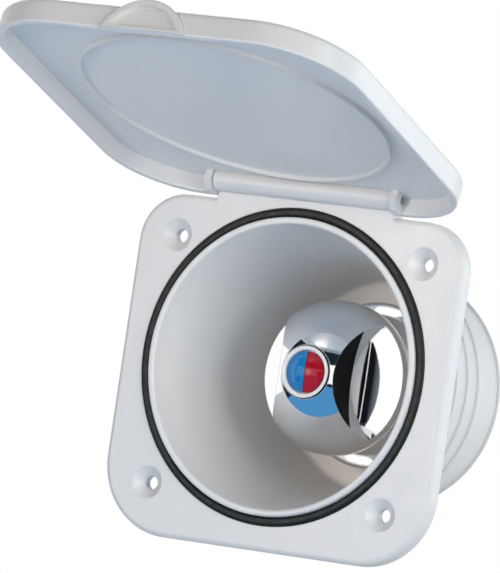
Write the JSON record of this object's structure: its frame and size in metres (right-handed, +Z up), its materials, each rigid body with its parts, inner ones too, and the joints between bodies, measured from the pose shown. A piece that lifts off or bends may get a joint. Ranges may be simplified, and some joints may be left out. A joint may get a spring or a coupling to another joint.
{
  "type": "recessed mixer tap",
  "caption": "Mixer tap in a round recess behind a square flange, with a hinged skirted lid, a sealing ring and a ball knob that turns for temperature and tilts for flow.",
  "frame": {"origin": "on the recess axis, in the plane of the flange's back face", "axes": "+Z up, the user on the -Y side, the cup running back along +Y, hot port towards -X"},
  "size_m": [0.136, 0.2577, 0.1728],
  "materials": {
    "face_plate": "satin",
    "cup": "satin",
    "lid": "satin",
    "lid_seal": "matt",
    "hinge_pin": "brushed",
    "escutcheon": "polished",
    "escutcheon_seal": "matt",
    "mixer_body": "cast and machined",
    "body_gasket": "matt",
    "ring_nut": "machined",
    "washer": "matt",
    "cartridge_housing": "matt",
    "cartridge_base": "matt",
    "cartridge_nut": "machined",
    "cartridge_oring": "matt",
    "base_seals": "matt",
    "fixed_disc": "ground",
    "moving_disc": "ground",
    "disc_carrier": "matt",
    "turn_carrier": "matt",
    "lever_stem": "machined",
    "stem_pivot_pin": "brushed",
    "knob": "polished",
    "knob_screw": "brushed",
    "button_holder": "polished",
    "button_blue": "gloss",
    "button_red": "gloss",
    "hot_tail": "machined",
    "hot_tail_seal": "matt",
    "cold_tail": "machined",
    "cold_tail_seal": "matt",
    "outlet_tail": "machined",
    "outlet_tail_seal": "matt"
  },
  "bodies": {
    "housing": {"face_plate": "face_plate", "cup": "cup", "lid_seal": "lid_seal", "escutcheon": "escutcheon", "escutcheon_seal": "escutcheon_seal", "mixer_body": "mixer_body", "body_gasket": "body_gasket", "ring_nut": "ring_nut", "washer": "washer", "cartridge_housing": "cartridge_housing", "cartridge_base": "cartridge_base", "cartridge_nut": "cartridge_nut", "cartridge_oring": "cartridge_oring", "base_seals": "base_seals", "fixed_disc": "fixed_disc", "hot_tail": "hot_tail", "hot_tail_seal": "hot_tail_seal", "cold_tail": "cold_tail", "cold_tail_seal": "cold_tail_seal", "outlet_tail": "outlet_tail", "outlet_tail_seal": "outlet_tail_seal"},
    "lid": {"lid": "lid", "hinge_pin": "hinge_pin"},
    "turner": {"turn_carrier": "turn_carrier", "stem_pivot_pin": "stem_pivot_pin"},
    "lever": {"lever_stem": "lever_stem", "knob": "knob", "knob_screw": "knob_screw", "button_holder": "button_holder", "button_blue": "button_blue", "button_red": "button_red"},
    "disc_slide": {"moving_disc": "moving_disc", "disc_carrier": "disc_carrier"}
  },
  "joints": [
    {"name": "lid_hinge", "type": "hinge", "parent": "housing", "child": "lid", "pos_m": [0, -0.0076, 0.0615], "axis": [1, 0, 0], "range_deg": [0, 108.2]},
    {"name": "temperature_turn", "type": "hinge", "parent": "housing", "child": "turner", "pos_m": [0, 0.0566, 0], "axis": [0, -1, 0], "range_deg": [-45, 45]},
    {"name": "flow_tilt", "type": "hinge", "parent": "turner", "child": "lever", "pos_m": [0, 0.0566, 0], "axis": [-1, 0, 0], "range_deg": [0, 22]},
    {"name": "disc_travel", "type": "slide", "parent": "turner", "child": "disc_slide", "axis": [0, 0, -1], "range_m": [0, 0.00447]}
  ],
  "couplings": [
    {"joint": "disc_travel", "follows": "flow_tilt", "m_per_rad": 0.011512}
  ]
}
